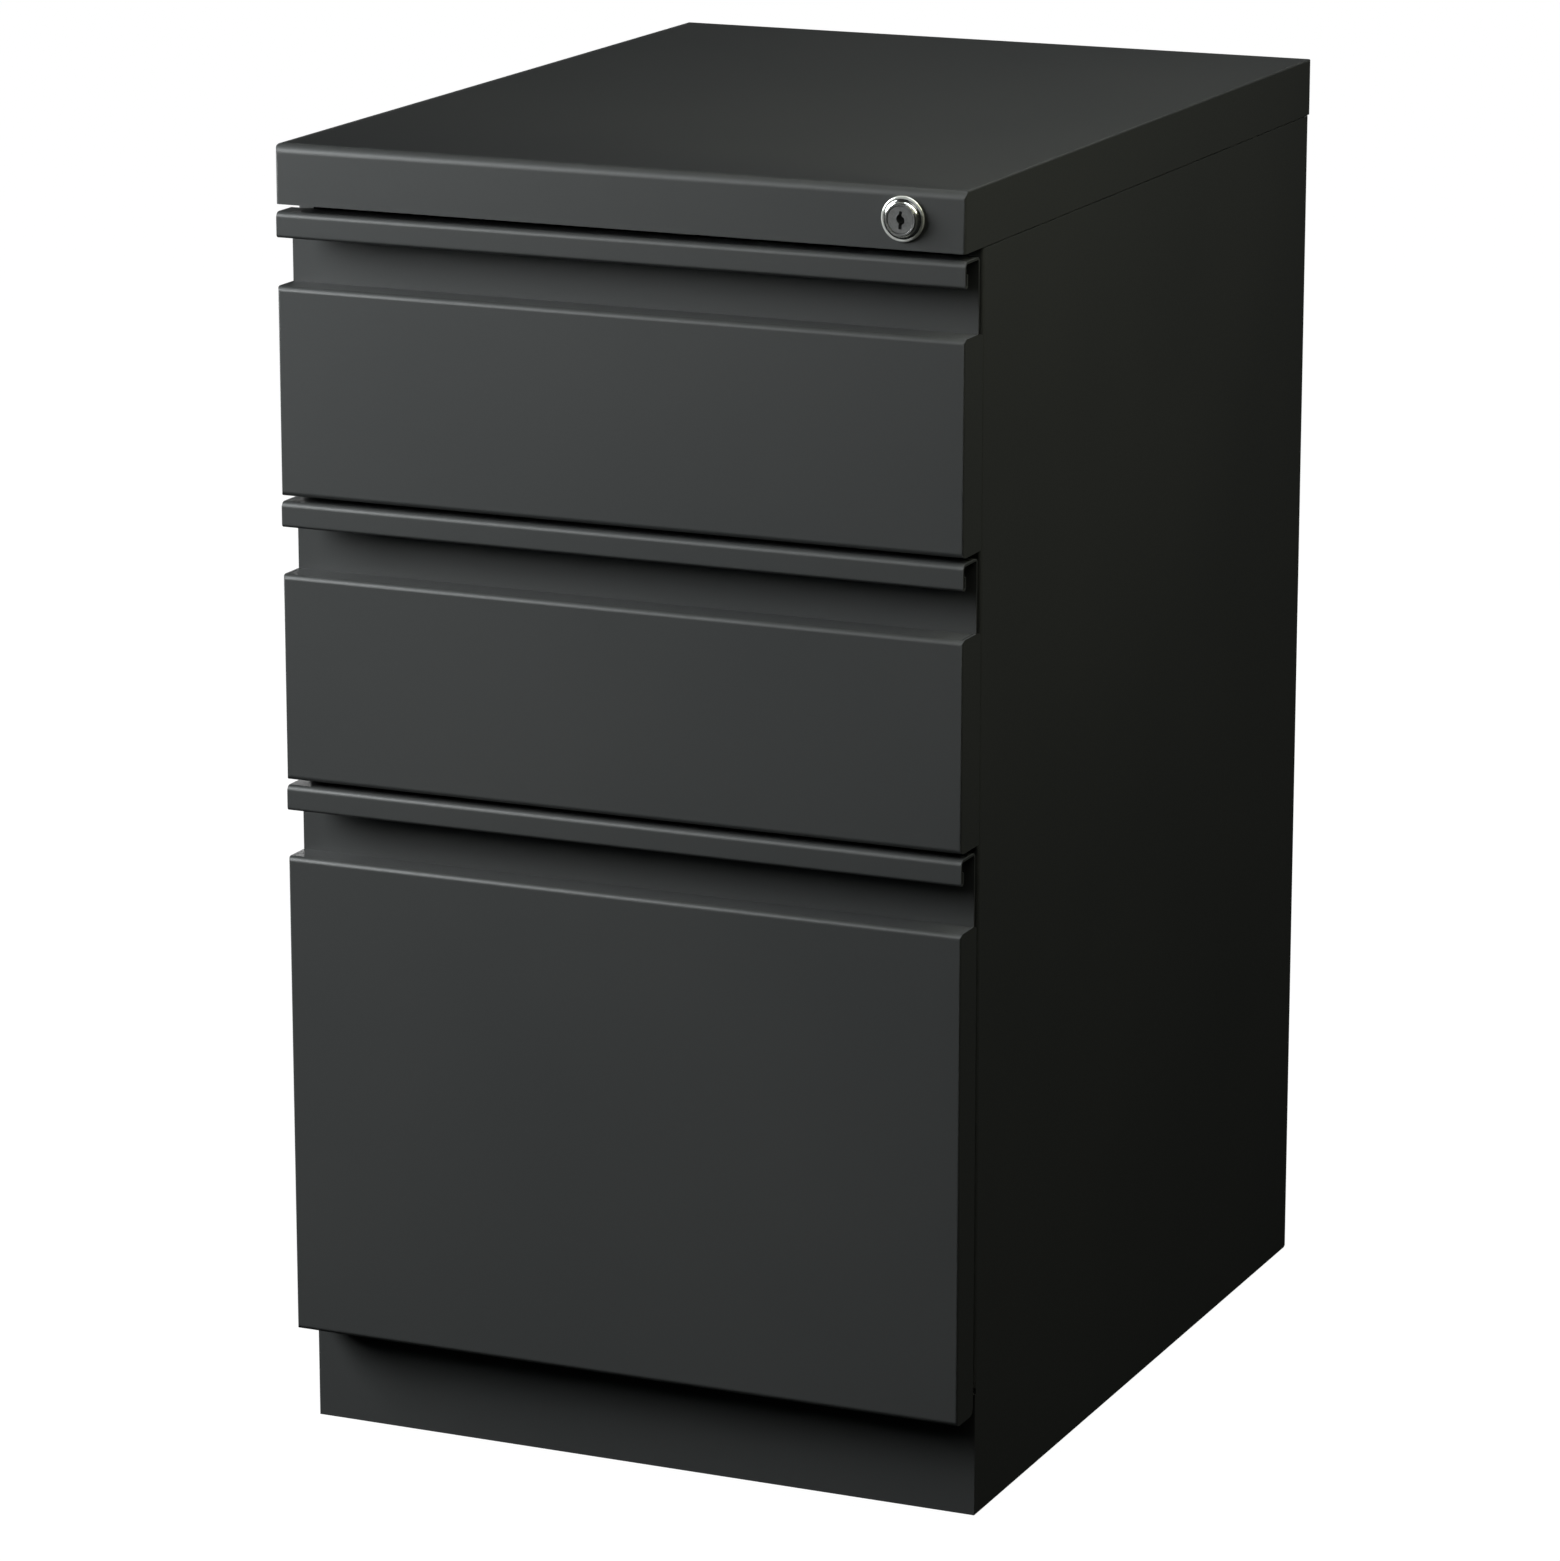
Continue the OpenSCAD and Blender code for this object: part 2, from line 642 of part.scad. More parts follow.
top_cap();
left_side_panel();
right_side_panel();
back_panel();
base_pan();
toe_kick();
cross_rails();
left_uprights();
right_uprights();
case_slide_rails();
drawer_bumpers();
lock_housing();
lock_nut();
lock_bar_guides();
caster_plates();
caster_bolts();
counterweight();
back_screws();
lock_plug();
lock_cam();
cam_screw();
lock_bar();
drawer_face(TOP);  // top_drawer_face
drawer_pull_panel(TOP);  // top_drawer_pull_panel
drawer_sides(TOP);  // top_drawer_sides
drawer_bottom(TOP);  // top_drawer_bottom
drawer_back(TOP);  // top_drawer_back
drawer_slide_rails(TOP);  // top_drawer_slide_rails
drawer_catch(TOP);  // top_drawer_catch
box_ball_cages(TOP);  // top_ball_cages
drawer_face(MIDDLE);  // middle_drawer_face
drawer_pull_panel(MIDDLE);  // middle_drawer_pull_panel
drawer_sides(MIDDLE);  // middle_drawer_sides
drawer_bottom(MIDDLE);  // middle_drawer_bottom
drawer_back(MIDDLE);  // middle_drawer_back
drawer_slide_rails(MIDDLE);  // middle_drawer_slide_rails
drawer_catch(MIDDLE);  // middle_drawer_catch
box_ball_cages(MIDDLE);  // middle_ball_cages
drawer_face(FILE);  // file_drawer_face
drawer_pull_panel(FILE);  // file_drawer_pull_panel
drawer_sides(FILE);  // file_drawer_sides
drawer_bottom(FILE);  // file_drawer_bottom
drawer_back(FILE);  // file_drawer_back
drawer_slide_rails(FILE);  // file_drawer_slide_rails
drawer_catch(FILE);  // file_drawer_catch
file_hanging_rails();
file_middle_rails();
file_outer_ball_cages();
file_inner_ball_cages();
caster_fork(-1, 0);  // front_left_fork
caster_wheel(-1, 0);  // front_left_wheel
caster_fork(1, 0);  // front_right_fork
caster_wheel(1, 0);  // front_right_wheel
caster_fork(-1, 1);  // rear_left_fork
caster_wheel(-1, 1);  // rear_left_wheel
caster_fork(1, 1);  // rear_right_fork
caster_wheel(1, 1);  // rear_right_wheel
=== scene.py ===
import json
import math

import bmesh
import bpy
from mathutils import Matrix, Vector


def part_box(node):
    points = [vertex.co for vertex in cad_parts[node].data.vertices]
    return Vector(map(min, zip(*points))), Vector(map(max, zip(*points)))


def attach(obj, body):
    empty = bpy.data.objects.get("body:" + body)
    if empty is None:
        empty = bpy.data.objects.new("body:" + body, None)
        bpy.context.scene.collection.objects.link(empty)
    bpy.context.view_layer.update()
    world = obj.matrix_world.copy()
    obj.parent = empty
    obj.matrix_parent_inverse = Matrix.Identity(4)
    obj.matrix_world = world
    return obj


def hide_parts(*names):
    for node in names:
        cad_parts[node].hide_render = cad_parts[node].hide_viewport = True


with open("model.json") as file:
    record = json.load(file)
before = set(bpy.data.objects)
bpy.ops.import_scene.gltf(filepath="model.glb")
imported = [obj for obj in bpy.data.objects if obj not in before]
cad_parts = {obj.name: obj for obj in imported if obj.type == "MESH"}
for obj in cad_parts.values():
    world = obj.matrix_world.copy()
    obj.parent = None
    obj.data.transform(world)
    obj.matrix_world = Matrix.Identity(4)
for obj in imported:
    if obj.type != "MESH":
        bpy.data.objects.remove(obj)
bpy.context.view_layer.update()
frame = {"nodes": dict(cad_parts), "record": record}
scene = bpy.context.scene
MM = 0.001
SMOOTH_ANGLE = math.radians(32)
# Most of a noise texture's values lie between these
NOISE_LOW, NOISE_HIGH = 0.3, 0.7


# ---------------------------------------------------------------- shader helpers

class Shader:
    """A node material under construction. Textures follow the object, in metres."""

    def __init__(self, name):
        self.material = bpy.data.materials.new(name)
        self.material.use_nodes = True
        self.tree = self.material.node_tree
        self.principled = self.tree.nodes["Principled BSDF"]
        self.coordinates = self.tree.nodes.new("ShaderNodeTexCoord").outputs["Object"]

    def node(self, kind, **inputs):
        made = self.tree.nodes.new(kind)
        for key, value in inputs.items():
            self.feed(made.inputs[key.replace("_", " ")], value)
        return made

    def feed(self, socket, value):
        if isinstance(value, bpy.types.NodeSocket):
            self.tree.links.new(value, socket)
        else:
            socket.default_value = value

    def stretched(self, scale):
        return self.node("ShaderNodeMapping", Vector=self.coordinates, Scale=scale).outputs["Vector"]

    def noise(self, scale, detail=2.0, roughness=0.5, vector=None):
        made = self.node("ShaderNodeTexNoise", Vector=vector or self.coordinates,
                         Scale=scale, Detail=detail, Roughness=roughness)
        return made.outputs["Fac"]

    def span(self, factor, low, high):
        made = self.node("ShaderNodeMapRange", Value=factor)
        for key, value in (("From Min", NOISE_LOW), ("From Max", NOISE_HIGH), ("To Min", low), ("To Max", high)):
            made.inputs[key].default_value = value
        return made.outputs["Result"]

    def mix(self, factor, low, high):
        made = self.node("ShaderNodeValToRGB", Fac=factor)
        for stop, position, colour in zip(made.color_ramp.elements, (NOISE_LOW, NOISE_HIGH), (low, high)):
            stop.position = position
            stop.color = (*colour, 1)
        return made.outputs["Color"]

    def bump(self, height, distance, strength=1.0, under=None):
        made = self.node("ShaderNodeBump", Height=height)
        made.inputs["Distance"].default_value = distance
        made.inputs["Strength"].default_value = strength
        if under is not None:
            self.tree.links.new(under, made.inputs["Normal"])
        return made.outputs["Normal"]

    def set(self, **inputs):
        for key, value in inputs.items():
            self.feed(self.principled.inputs[key.replace("_", " ")], value)
        return self.material


def powder_coat():
    """Fine-grained satin paint: a faint orange peel, a finer sparkle and a slow drift of tone."""
    s = Shader("charcoal_powder_coat")
    peel = s.noise(520.0, 2.0)
    grain = s.noise(2600.0, 1.0)
    cloud = s.noise(5.0, 3.0)
    ripple = s.bump(peel, 0.00006, 0.5)
    return s.set(
        Base_Color=s.mix(cloud, (0.033, 0.0345, 0.0345), (0.0375, 0.0385, 0.038)),
        Roughness=s.span(grain, 0.38, 0.48),
        IOR=1.5,
        Normal=s.bump(grain, 0.00002, 0.35, ripple))


def zinc_plate():
    s = Shader("zinc_plate")
    drawn = s.noise(60.0, 4.0, 0.6, s.stretched((14.0, 0.6, 14.0)))
    spangle = s.noise(90.0, 3.0)
    return s.set(
        Base_Color=s.mix(spangle, (0.50, 0.51, 0.52), (0.62, 0.62, 0.60)),
        Metallic=1.0,
        Roughness=s.span(drawn, 0.26, 0.42),
        Normal=s.bump(drawn, 0.00004, 0.4))


def chrome_plate(name, low, high, metallic):
    s = Shader(name)
    haze = s.noise(400.0, 3.0)
    return s.set(
        Base_Color=s.mix(haze, low, high),
        Metallic=metallic,
        Roughness=s.span(haze, 0.10, 0.18),
        Normal=s.bump(s.noise(1500.0, 2.0), 0.000008, 0.3))


def satin_chrome():
    """The lock's flat face, finely turned."""
    s = Shader("satin_chrome")
    turned = s.noise(900.0, 3.0)
    return s.set(
        Base_Color=s.mix(turned, (0.19, 0.19, 0.19), (0.25, 0.25, 0.245)),
        Metallic=0.6,
        Roughness=s.span(turned, 0.28, 0.38),
        Normal=s.bump(turned, 0.00001, 0.4))


def moulded(name, low, high, rough):
    s = Shader(name)
    grain = s.noise(1400.0, 2.0)
    return s.set(
        Base_Color=s.mix(s.noise(40.0, 3.0), low, high),
        Roughness=s.span(grain, rough - 0.06, rough + 0.06),
        Normal=s.bump(grain, 0.00003, 0.5))


def raw_iron():
    s = Shader("raw_iron")
    cast = s.noise(260.0, 5.0, 0.65)
    return s.set(
        Base_Color=s.mix(s.noise(35.0, 4.0), (0.035, 0.034, 0.033), (0.075, 0.07, 0.066)),
        Metallic=0.6,
        Roughness=s.span(cast, 0.55, 0.8),
        Normal=s.bump(cast, 0.0003, 0.6))


LOOKS = {
    "charcoal_powder_coat": powder_coat(),
    "zinc_steel": zinc_plate(),
    "chrome_lock": chrome_plate("chrome_plate", (0.58, 0.58, 0.56), (0.68, 0.68, 0.66), 0.97),
    "black_plastic": moulded("black_nylon", (0.012, 0.012, 0.012), (0.02, 0.02, 0.02), 0.42),
    "black_rubber": moulded("black_rubber", (0.015, 0.015, 0.015), (0.024, 0.024, 0.023), 0.75),
    "raw_iron": raw_iron(),
}
SATIN = satin_chrome()
# Painted highlight: the rim is the same chrome plate as the flare, made paler and less metallic so that it shows
# as a bright ring
RIM_PAINTED_HIGHLIGHT = chrome_plate("rim_painted_highlight", (0.80, 0.80, 0.76), (0.86, 0.86, 0.82), 0.55)


def smooth_shading(thing):
    """Rounded bends shade smoothly, and flat sheet stays flat between them."""
    for face in thing.data.polygons:
        face.use_smooth = True
    thing.data.set_sharp_from_angle(angle=SMOOTH_ANGLE)
    thing.modifiers.new("flat_faces", "WEIGHTED_NORMAL").keep_sharp = True


SUBPARTS = {part["node"]: part for part in frame["record"]["subparts"]}
BODY_OF = {node: body for body, nodes in frame["record"]["behaviour"]["bodies"].items() for node in nodes}
for name, node in frame["nodes"].items():
    node.data.materials.clear()
    node.data.materials.append(LOOKS[SUBPARTS[name]["material_slot"]])
    smooth_shading(node)


# ---------------------------------------------------------------- mesh helpers

def rounded(corners, steps=8):
    """A closed outline; each corner is (u, v, radius)."""
    points = []
    for i, (u, v, radius) in enumerate(corners):
        here = Vector((u, v))
        before = here - Vector(corners[i - 1][:2])
        after = Vector(corners[(i + 1) % len(corners)][:2]) - here
        points += bend(here, before, after, radius, steps)
    return points


def bend(here, before, after, radius, steps):
    """The arc that rounds one corner of a line."""
    if radius <= 0:
        return [here]
    before, after = before.normalized(), after.normalized()
    turn = math.atan2(before.cross(after), before.dot(after))
    if abs(turn) < 1e-4:
        return [here]
    side = math.copysign(1.0, turn)
    start = here - before * radius * math.tan(abs(turn) / 2)
    inward = Vector((-before.y, before.x)) * side
    centre = start + inward * radius
    arc = []
    for k in range(steps + 1):
        angle = turn * k / steps
        out = -inward
        arc.append(centre + radius * Vector((out.x * math.cos(angle) - out.y * math.sin(angle),
                                             out.x * math.sin(angle) + out.y * math.cos(angle))))
    return arc


def strip(path, thickness, radii, steps=8):
    """The outline of a bent sheet whose middle line is path, with one centre radius for each point."""
    sides = []
    for side in (1, -1):
        shifted = []
        for i, point in enumerate(path):
            here = Vector(point)
            before = here - Vector(path[i - 1]) if i else Vector(path[1]) - here
            after = Vector(path[i + 1]) - here if i < len(path) - 1 else before
            before, after = before.normalized(), after.normalized()
            turn = math.atan2(before.cross(after), before.dot(after))
            across = (Vector((-before.y, before.x)) + Vector((-after.y, after.x))).normalized()
            reach = thickness / 2 / max(math.cos(turn / 2), 0.1)
            corner = here + across * side * reach
            radius = radii[i] - side * math.copysign(thickness / 2, turn) if abs(turn) > 1e-4 else 0
            shifted += bend(corner, before, after, radius, steps)
        sides.append(shifted)
    return sides[0] + sides[1][::-1]


PLACE = {"x": lambda u, v, w: (w, u, v), "y": lambda u, v, w: (u, w, v), "z": lambda u, v, w: (u, v, w)}


def prism(name, outline, axis, low, high):
    """A closed solid of that outline along one axis. The outline is in the other two axes, in order."""
    form = bmesh.new()
    ends = [[form.verts.new(PLACE[axis](p[0], p[1], w)) for p in outline] for w in (low, high)]
    for end in ends:
        form.faces.new(end)
    for i in range(len(outline)):
        a, b = i, (i + 1) % len(outline)
        form.faces.new((ends[0][a], ends[0][b], ends[1][b], ends[1][a]))
    bmesh.ops.recalc_face_normals(form, faces=form.faces)
    return as_object(name, form)


def as_object(name, form):
    mesh = bpy.data.meshes.new(name)
    form.to_mesh(mesh)
    form.free()
    made = bpy.data.objects.new(name, mesh)
    scene.collection.objects.link(made)
    return made


def cut(base, operation, *tools):
    """Joins, cuts or intersects base with tools, which are used up."""
    for tool in tools:
        step = base.modifiers.new("cut", "BOOLEAN")
        step.operation = operation
        step.solver = "EXACT"
        step.object = tool
    return settle(base, tools)


def settle(base, used=()):
    """Applies base's modifiers and removes what they used."""
    graph = bpy.context.evaluated_depsgraph_get()
    graph.update()
    mesh = bpy.data.meshes.new_from_object(base.evaluated_get(graph))
    old = base.data
    base.modifiers.clear()
    base.data = mesh
    bpy.data.meshes.remove(old)
    for tool in used:
        spare = tool.data
        bpy.data.objects.remove(tool)
        bpy.data.meshes.remove(spare)
    return base


def joined(name, *parts):
    """One mesh of several closed solids that only touch or stand apart."""
    form = bmesh.new()
    for part in parts:
        form.from_mesh(part.data)
    for part in parts:
        spare = part.data
        bpy.data.objects.remove(part)
        bpy.data.meshes.remove(spare)
    return as_object(name, form)


SLIVER = 0.01 * MM


def soften(thing, width):
    """Takes the bite off raw sheet edges, and closes the slivers that this leaves in tight bends."""
    step = thing.modifiers.new("soft_edges", "BEVEL")
    step.width = width
    step.segments = 2
    step.limit_method = "ANGLE"
    step.angle_limit = math.radians(50)
    step.use_clamp_overlap = True
    step.miter_outer = "MITER_ARC"
    settle(thing)
    form = bmesh.new()
    form.from_mesh(thing.data)
    bmesh.ops.remove_doubles(form, verts=form.verts, dist=SLIVER)
    bmesh.ops.dissolve_degenerate(form, edges=form.edges, dist=SLIVER)
    form.to_mesh(thing.data)
    form.free()
    return thing


def belongs(thing, node, look=None):
    """thing stands for that CAD node: it rides on its body and takes its finish."""
    slot = SUBPARTS[node]["material_slot"]
    thing.data.materials.clear()
    thing.data.materials.append(look or LOOKS[slot])
    smooth_shading(thing)
    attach(thing, BODY_OF[node])
    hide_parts(node)
    return thing


# ---------------------------------------------------------------- top

SHEET = 1.2 * MM
lock_low, lock_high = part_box("lock_housing")
lock_x, lock_z = (lock_low.x + lock_high.x) / 2, (lock_low.z + lock_high.z) / 2
COLLAR_R = (lock_high.x - lock_low.x) / 2


CAP_NOSE_R = 5 * MM
CAP_FRONT_CORNER_R = 1.6 * MM
CAP_BACK_R = 1.5 * MM
CAP_SIDE_R = 1.2 * MM


def cap_form(name, inset, z_low, low, high):
    """The top's outside, or its inside when inset."""
    x, z1 = high.x - inset, high.z - inset
    y0, y1 = low.y + inset, high.y - inset
    lengthwise = prism(name, rounded([
        (y0, z_low, 0), (y1, z_low, 0), (y1, z1, CAP_BACK_R), (y0, z1, CAP_NOSE_R - inset)], 12), "x", -x, x)
    corner = CAP_FRONT_CORNER_R - inset / 2
    plan = prism("plan", rounded([
        (-x, y0, corner), (x, y0, corner),
        (x, y1, CAP_SIDE_R), (-x, y1, CAP_SIDE_R)], 8), "z", z_low - MM, z1 + MM)
    across = prism("across", rounded([
        (-x, z_low - MM, 0), (x, z_low - MM, 0),
        (x, z1, CAP_SIDE_R), (-x, z1, CAP_SIDE_R)], 5), "y", y0 - MM, y1 + MM)
    return cut(lengthwise, "INTERSECT", plan, across)


def desk_top():
    """The folded cap, with the shelf that closes the fascia from below and the lock's hole."""
    low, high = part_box("top_cap")
    y_face = low.y
    shell = cut(cap_form("cabinet_top", 0, low.z, low, high), "DIFFERENCE",
                cap_form("hollow", SHEET, low.z - 2 * MM, low, high))
    inside = 1.25 * MM
    shelf_depth = 25 * MM
    shelf_x = high.x - inside
    shelf = prism("shelf", [
        (-shelf_x, y_face + inside), (shelf_x, y_face + inside),
        (shelf_x, y_face + shelf_depth), (-shelf_x, y_face + shelf_depth)], "z", low.z, low.z + SHEET)
    hole_r = 9.6 * MM
    hole = prism("hole", circle(lock_x, lock_z, hole_r, 48), "y", y_face - MM, y_face + 5 * MM)
    shell = cut(shell, "DIFFERENCE", hole)
    soften(shell, 0.25 * MM)
    return belongs(joined("cabinet_top", shell, shelf), "top_cap")


def circle(u, v, radius, steps):
    turns = [2 * math.pi * k / steps for k in range(steps)]
    return [(u + radius * math.cos(turn), v + radius * math.sin(turn)) for turn in turns]


# ---------------------------------------------------------------- drawer fronts

def drawer_front(kind, seam, heel):
    """Face, ledge and returns of one front.

    seam is the slit where the ledge's ends meet the side returns.
    heel is the radius of the returns' low back corner.
    """
    node = kind + "_drawer_face"
    low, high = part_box(node)
    ledge_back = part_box(kind + "_drawer_pull_panel")[1].y - 0.6 * MM
    edge = 3 * MM
    x = high.x
    body = prism(kind + "_drawer_front", rounded([
        (low.y, low.z, edge), (high.y, low.z, heel), (high.y, high.z - MM, 1.5 * MM),
        (ledge_back, high.z, 0), (low.y, high.z, edge)], 10), "x", -x, x)
    plan = prism("plan", rounded([
        (-x, low.y, 1.3 * MM), (x, low.y, 1.3 * MM), (x, high.y + MM, 0), (-x, high.y + MM, 0)], 8),
        "z", low.z - MM, high.z + MM)
    body = cut(body, "INTERSECT", plan)
    inner = x - SHEET
    hollow = prism("hollow", rounded([
        (low.y + SHEET, low.z + SHEET, edge - SHEET), (high.y + MM, low.z + SHEET, 0),
        (high.y + MM, high.z - SHEET, 0), (low.y + SHEET, high.z - SHEET, edge - SHEET)], 8),
        "x", -inner, inner)
    behind = prism("behind", [
        (ledge_back, low.z - MM), (high.y + MM, low.z - MM),
        (high.y + MM, high.z + MM), (ledge_back, high.z + MM)], "x", -inner, inner)
    slit_y0, slit_y1 = low.y + 2.2 * MM, ledge_back + MM
    slits = [prism("slit", [
        (side * (inner - seam), slit_y0), (side * inner, slit_y0),
        (side * inner, slit_y1), (side * (inner - seam), slit_y1)],
        "z", high.z - 2 * MM, high.z + MM) for side in (1, -1)]
    body = cut(body, "DIFFERENCE", hollow, behind, *slits)
    soften(body, 0.22 * MM)
    return belongs(body, node)


def drawer_pull(kind):
    """The panel behind the face, whose top folds forward and down as the pull."""
    node = kind + "_drawer_pull_panel"
    low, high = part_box(node)
    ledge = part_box(kind + "_drawer_face")[1].z
    t = SHEET
    y = high.y - t / 2
    lip = 13.5 * MM
    hem_y, hem_top = low.y + t * 1.5 + 1.2 * MM, high.z - lip + 7 * MM
    front, lip_low = low.y + t / 2, high.z - lip + t / 2
    # The wide part ends inside the ledge's sheet, and the narrow part goes on down from there
    split = ledge - 0.4 * MM
    pull = prism(kind + "_drawer_pull", strip(
        [(y, split), (y, high.z - t / 2), (front, high.z - t / 2),
         (front, lip_low), (hem_y, lip_low), (hem_y, hem_top)],
        t, (0, 1.5 * MM, 2.4 * MM, 1.2 * MM, 1.2 * MM, 0)), "x", -high.x, high.x)
    soften(pull, 0.2 * MM)
    narrow = high.x - t - 0.3 * MM
    back = prism("back", strip([(y, low.z), (y, split)], t, (0, 0)), "x", -narrow, narrow)
    return belongs(joined(kind + "_drawer_pull", pull, back), node)


# ---------------------------------------------------------------- lock

def turned(name, profile, steps=96):
    """A solid turned about the lock's axis; the profile is (radius, y) from front to back."""
    form = bmesh.new()
    rings = []
    for radius, y in profile:
        if radius < 1e-6:
            rings.append([form.verts.new((lock_x, y, lock_z))])
        else:
            rings.append([form.verts.new((px, y, pz)) for px, pz in circle(lock_x, lock_z, radius, steps)])
    for a, b in zip(rings, rings[1:]):
        for k in range(steps):
            n = (k + 1) % steps
            corners = [a[k % len(a)], a[n % len(a)], b[n % len(b)], b[k % len(b)]]
            unique = list(dict.fromkeys(corners))
            if len(unique) > 2:
                form.faces.new(unique)
    bmesh.ops.recalc_face_normals(form, faces=form.faces)
    return as_object(name, form)


def lock_collar():
    """A flare rising from a rim on the fascia to a satin ring round the plug. The rim's pale, less metallic
    chrome is a painted highlight.
    """
    y_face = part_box("top_cap")[0].y
    front, back = lock_low.y, lock_high.y
    face_r, bore_r, barrel_r = 8.1 * MM, 7.05 * MM, 9.5 * MM
    flare_r = COLLAR_R - 1.3 * MM
    flare_front, flare_back = front + 0.25 * MM, y_face - 1.35 * MM
    flare = []
    for k in range(13):
        angle = math.pi / 2 * k / 12
        flare.append((face_r + (flare_r - face_r) * (1 - math.cos(angle)),
                      flare_front + (flare_back - flare_front) * math.sin(angle)))
    seat_r, seat_y = face_r - 0.25 * MM, front + 0.6 * MM
    profile = ([(bore_r, front + 20 * MM), (bore_r, seat_y), (seat_r, seat_y), (seat_r, front)]
               + flare
               + [(flare_r, y_face), (barrel_r, y_face + 0.05 * MM), (barrel_r, back), (bore_r, back)])
    belongs(turned("lock_collar", profile + [profile[0]]), "lock_housing")

    rim_half, rim_r = 0.75 * MM, 0.8 * MM
    rim = []
    for k in range(9):
        angle = math.pi * k / 8
        rim.append((COLLAR_R - rim_r + rim_r * math.sin(angle), y_face - rim_half - rim_half * math.cos(angle)))
    rim_inner = COLLAR_R - 1.4 * MM
    start = (rim_inner, y_face - 1.4 * MM)
    # The rim takes the pale chrome that paints its highlight
    belongs(turned("lock_rim", [start] + rim + [(rim_inner, y_face), start]), "lock_housing", RIM_PAINTED_HIGHLIGHT)

    ring_r, ring_front, ring_back = face_r - 0.26 * MM, front + 0.05 * MM, front + 0.65 * MM
    chamfer = 0.15 * MM
    ring = [(bore_r, ring_back), (bore_r, ring_front + chamfer), (bore_r + chamfer, ring_front),
            (ring_r, ring_front), (ring_r, ring_back)]
    belongs(turned("lock_face_ring", ring + [ring[0]]), "lock_housing", SATIN)


def lock_plug():
    """The plug with its keyway and the square tail that drives the cam."""
    low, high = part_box("lock_plug")
    r, chamfer = 6.9 * MM, 0.2 * MM
    shoulder = high.y - 2.4 * MM
    plug = turned("lock_plug_face", [
        (0, low.y), (r - chamfer, low.y), (r, low.y + chamfer), (r, shoulder), (0, shoulder)], 64)
    # In millimetres from the plug's axis: a slot that bulges at its middle
    keyway = [(-0.8, -4.6), (0.7, -4.6), (0.9, -2.4), (2.0, -1.7), (2.4, -0.2), (1.9, 1.2), (0.8, 1.9),
              (1.0, 3.4), (0.7, 4.4), (-0.5, 4.4), (-0.7, 2.9), (-1.7, 1.9), (-2.1, 0.3), (-1.6, -1.1),
              (-0.6, -1.9), (-1.0, -3.0)]
    keyway_depth = 9 * MM
    slot = prism("keyway", [(lock_x + u * MM, lock_z + v * MM) for u, v in keyway],
                 "y", low.y - MM, low.y + keyway_depth)
    half = 2.5 * MM
    tail = prism("tail", [(lock_x - half, lock_z - half), (lock_x + half, lock_z - half),
                          (lock_x + half, lock_z + half), (lock_x - half, lock_z + half)], "y", shoulder, high.y)
    return belongs(joined("lock_plug_face", cut(plug, "DIFFERENCE", slot), tail), "lock_plug", SATIN)


# Each front's kind, seam and heel radius
FRONTS = (("top", 0.12 * MM, 1 * MM), ("middle", 0.5 * MM, 1 * MM), ("file", 0.12 * MM, 4 * MM))

desk_top()
for kind, seam, heel in FRONTS:
    drawer_front(kind, seam, heel)
    drawer_pull(kind)
lock_collar()
lock_plug()


# ---------------------------------------------------------------- stage, lights and camera

def plain(name, glow, paper):
    """Pale paper that keeps its own brightness and takes only a faint shadow."""
    made = bpy.data.materials.new(name)
    made.use_nodes = True
    tree = made.node_tree
    tree.nodes.clear()
    out = tree.nodes.new("ShaderNodeOutputMaterial")
    light = tree.nodes.new("ShaderNodeEmission")
    light.inputs["Color"].default_value = (glow, glow, glow, 1)
    light.inputs["Strength"].default_value = 1.0
    matt = tree.nodes.new("ShaderNodeBsdfDiffuse")
    matt.inputs["Color"].default_value = (paper, paper, paper, 1)
    both = tree.nodes.new("ShaderNodeAddShader")
    tree.links.new(light.outputs[0], both.inputs[0])
    tree.links.new(matt.outputs[0], both.inputs[1])
    tree.links.new(both.outputs[0], out.inputs["Surface"])
    return made


def stage_piece(name, form, look):
    """Seen by the camera alone, so that its brightness never falls on the cabinet."""
    made = as_object(name, form)
    made.data.materials.append(look)
    made.visible_diffuse = False
    made.visible_glossy = False
    made.visible_shadow = False


STAGE_R = 30.0
floor = bmesh.new()
bmesh.ops.create_circle(floor, cap_ends=True, segments=96, radius=STAGE_R)
stage_piece("floor", floor, plain("pale_floor", 1.0, 0.03))
dome = bmesh.new()
bmesh.ops.create_uvsphere(dome, u_segments=64, v_segments=32, radius=STAGE_R)
bmesh.ops.delete(dome, geom=[v for v in dome.verts if v.co.z < -0.01], context="VERTS")
stage_piece("backdrop", dome, plain("pale_backdrop", 1.02, 0.0))


def flag(name, corners):
    """An unseen card that keeps the key light off the top. It only casts shade."""
    form = bmesh.new()
    form.faces.new([form.verts.new(c) for c in corners])
    card = as_object(name, form)
    card.visible_camera = False
    card.visible_diffuse = False
    card.visible_glossy = False


cap_low, cap_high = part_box("top_cap")
FLAG_TOP = 1.7
flag_x, flag_y, flag_z = cap_low.x + 2 * MM, cap_low.y + 5.5 * MM, cap_high.z + 0.5 * MM
flag("front_flag", ((flag_x, flag_y, flag_z), (cap_high.x, flag_y, flag_z),
                    (cap_high.x, flag_y, FLAG_TOP), (flag_x, flag_y, FLAG_TOP)))
flag("left_flag", ((flag_x, flag_y, flag_z), (flag_x, cap_high.y, flag_z),
                   (flag_x, cap_high.y, FLAG_TOP), (flag_x, flag_y, FLAG_TOP)))

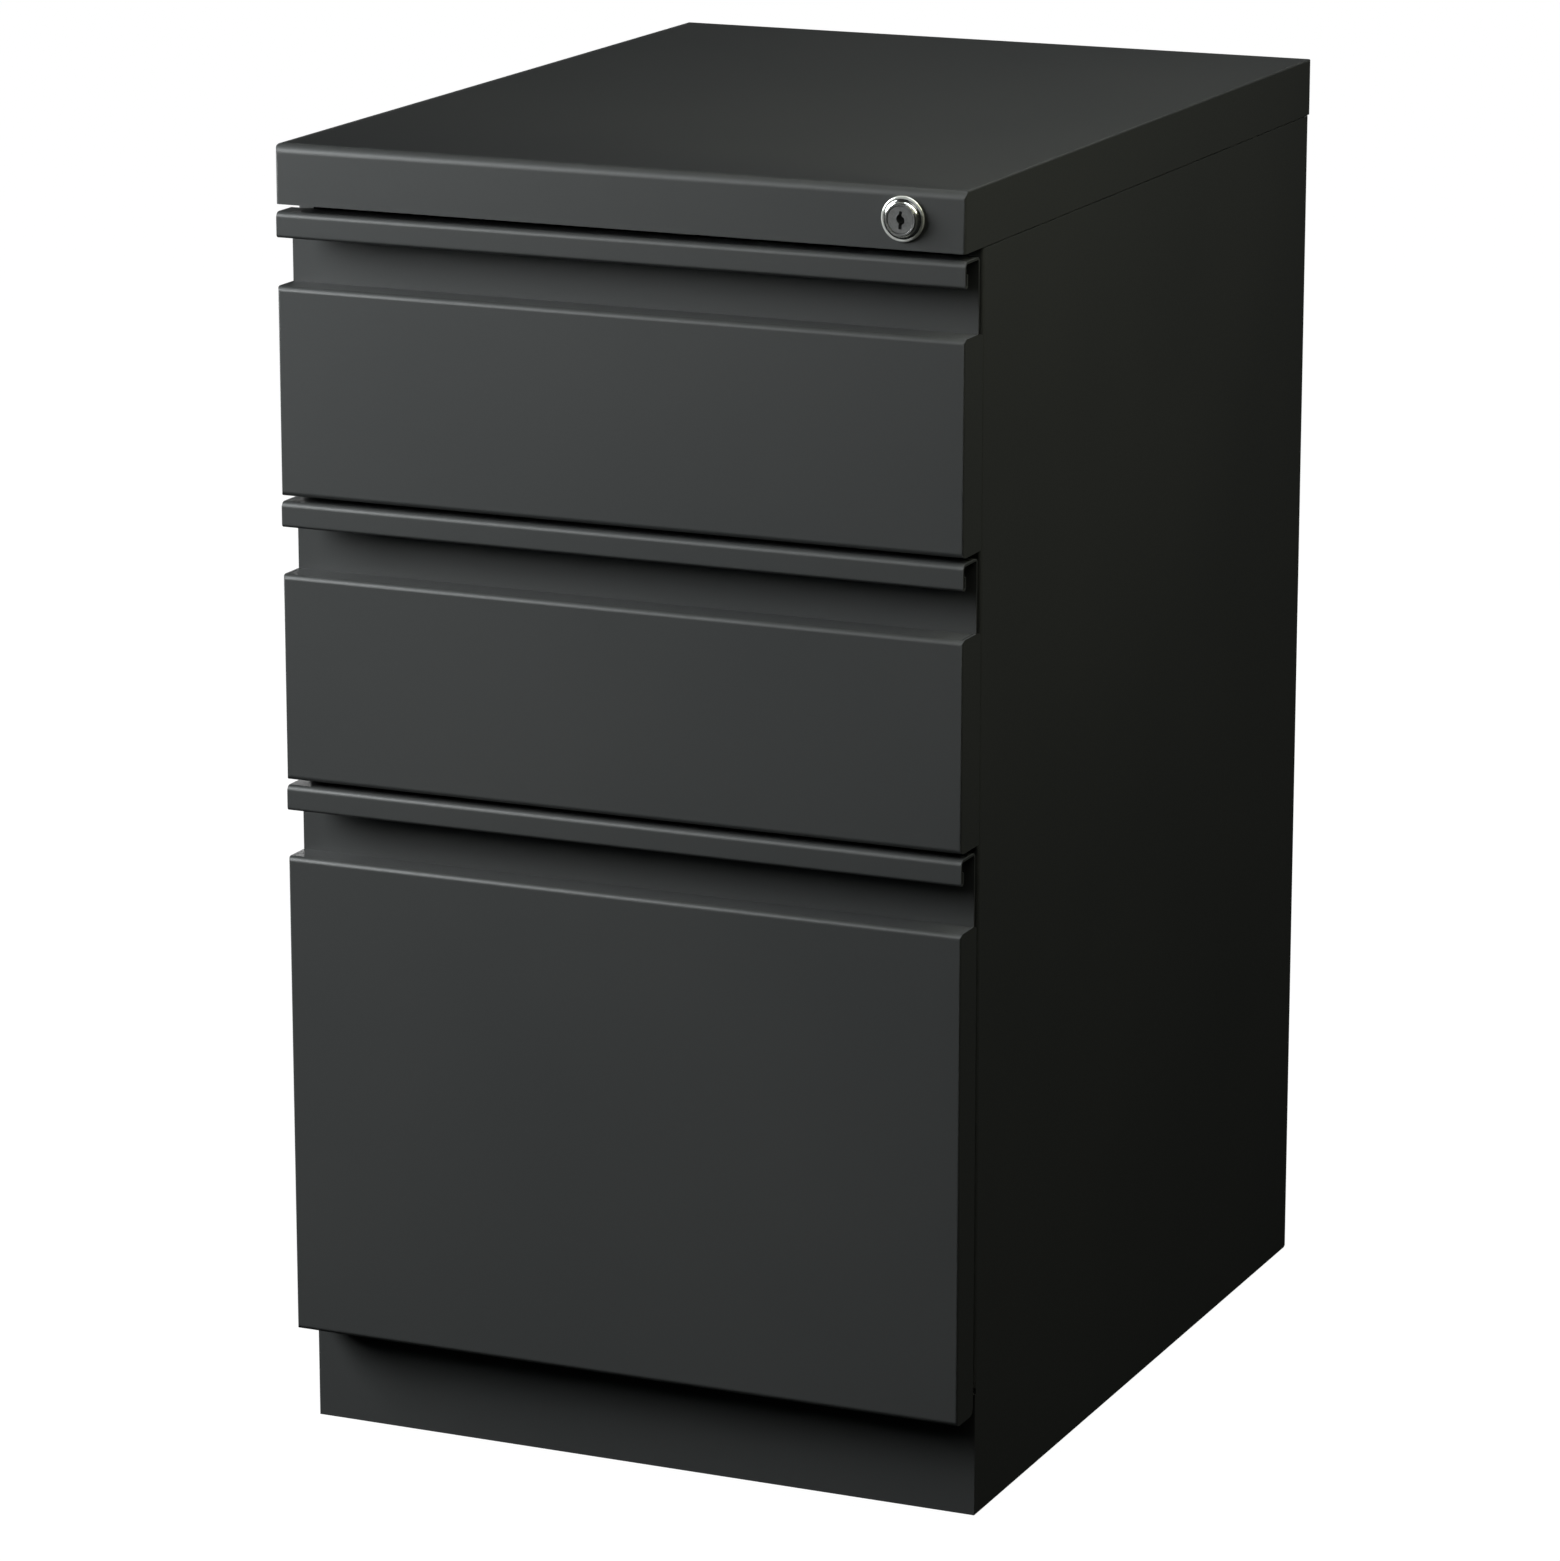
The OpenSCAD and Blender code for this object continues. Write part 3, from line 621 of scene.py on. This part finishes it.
world = bpy.data.worlds.new("studio")
scene.world = world
world.use_nodes = True
world.node_tree.nodes["Background"].inputs["Color"].default_value = (0.9, 1.0, 0.95, 1)
world.node_tree.nodes["Background"].inputs["Strength"].default_value = 0.006


def softbox(name, place, target, width, height, power, tint=(1, 1, 1)):
    lamp = bpy.data.lights.new(name, "AREA")
    lamp.shape = "RECTANGLE"
    lamp.size, lamp.size_y = width, height
    lamp.energy = power
    lamp.color = tint
    made = bpy.data.objects.new(name, lamp)
    scene.collection.objects.link(made)
    made.location = place
    made.rotation_euler = (Vector(target) - Vector(place)).to_track_quat("-Z", "Y").to_euler()
    made.visible_camera = False
    return made


softbox("key", (-1.6, -1.1, 1.3), (-0.05, -0.25, 0.45), 1.1, 1.1, 82, (0.97, 1.0, 1.0))
softbox("high_left", (-1.8, -1.2, 1.7), (-0.05, -0.25, 0.45), 1.1, 1.1, 12, (0.9, 1.0, 1.1))
softbox("front_right", (0.6, -2.2, 1.9), (-0.05, -0.25, 0.45), 1.0, 1.0, 3)
softbox("right_above", (0.72, -0.25, 1.3), (0.19, -0.1, 0.55), 0.5, 0.7, 5.2, (1.0, 1.02, 0.8))
softbox("overhead", (0.4, 0.3, 2.2), (0.0, 0.0, 0.7), 1.0, 1.0, 19.5, (0.97, 1.0, 1.04))
# Kept below the top's level and to the left, so that it lights the back alone
softbox("behind", (-0.75, 1.8, 0.33), (-0.05, 0.25, 0.33), 1.2, 0.6, 26)

# Fitted to the pictured cabinet's straight edges with no lens shift. The photograph has its verticals
# straightened, so the two agree only to about one part in a hundred at the bottom corners.
YAW, PITCH = math.radians(23.80), math.radians(14.31)
camera = bpy.data.objects.new("camera", bpy.data.cameras.new("camera"))
scene.collection.objects.link(camera)
camera.location = (1.3731, -3.1577, 1.2088)
camera.rotation_euler = (math.pi / 2 - PITCH, 0, YAW)
camera.data.lens = 149.67
camera.data.sensor_width = 36.0
camera.data.clip_start, camera.data.clip_end = 0.05, 200.0
scene.camera = camera
scene.view_settings.view_transform = "Standard"
